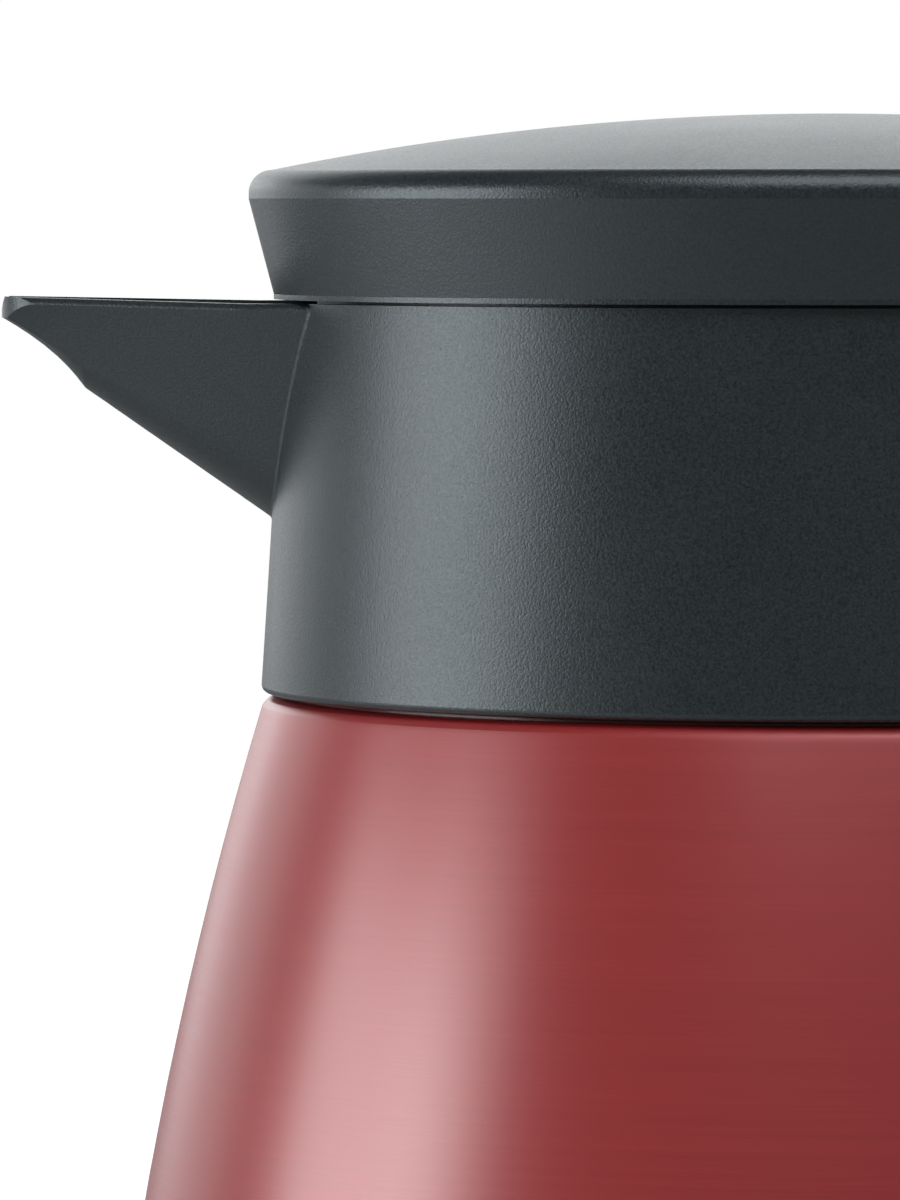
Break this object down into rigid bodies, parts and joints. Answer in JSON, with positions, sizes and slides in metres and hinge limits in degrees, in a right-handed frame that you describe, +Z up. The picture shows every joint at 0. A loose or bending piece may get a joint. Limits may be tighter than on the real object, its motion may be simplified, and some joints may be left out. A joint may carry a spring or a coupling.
{
  "type": "insulated teapot",
  "caption": "Double-walled steel teapot with a dark beak-spouted collar, a sprung hinged lid with thumb lever, a floating sealing plug and a loop handle.",
  "frame": {"origin": "centre of the pad the pot stands on", "axes": "+Z up, -X towards the spout, +X towards the handle, Y across the pot along the hinge pin"},
  "size_m": [0.1895, 0.1322, 0.2007],
  "materials": {
    "red_steel": "horizontally brushed steel under clear red lacquer",
    "steel": "satin stainless steel",
    "charcoal_plastic": "fine moulded grain, satin",
    "plug_plastic": "smooth satin",
    "foam": "closed-cell foam",
    "silicone": "matt silicone",
    "pad_rubber": "matt rubber",
    "getter_metal": "pressed powder"
  },
  "bodies": {
    "jug": {"outer_shell": "red_steel", "inner_flask": "steel", "flask_bottom": "steel", "shell_bottom": "steel", "port_cap": "steel", "getter": "getter_metal", "base_cap": "charcoal_plastic", "base_pad": "pad_rubber", "collar": "charcoal_plastic", "neck_seal": "silicone", "handle_outer": "charcoal_plastic", "handle_inner": "charcoal_plastic", "handle_screws": "steel", "handle_stud": "steel", "hinge_pin": "steel", "hinge_spring": "steel"},
    "lid": {"lid_base": "charcoal_plastic", "lid_cover": "charcoal_plastic", "lid_foam": "foam", "plug_screw": "steel", "plug_spring": "steel"},
    "plug": {"plug_body": "plug_plastic", "plug_cup": "plug_plastic", "plug_foam": "foam", "plug_seal": "silicone"}
  },
  "joints": [
    {"name": "lid_hinge", "type": "hinge", "parent": "jug", "child": "lid", "pos_m": [0.0563, 0, 0.18743], "axis": [0, 1, 0], "range_deg": [0, 75], "stiffness_Nm_per_rad": 0.05, "springref_deg": -34.38},
    {"name": "plug_float", "type": "slide", "parent": "lid", "child": "plug", "axis": [0, 0, 1], "range_m": [0, 0.0015], "stiffness_N_per_m": 1500, "springref_m": -0.002, "deforming": ["plug_spring"]}
  ]
}
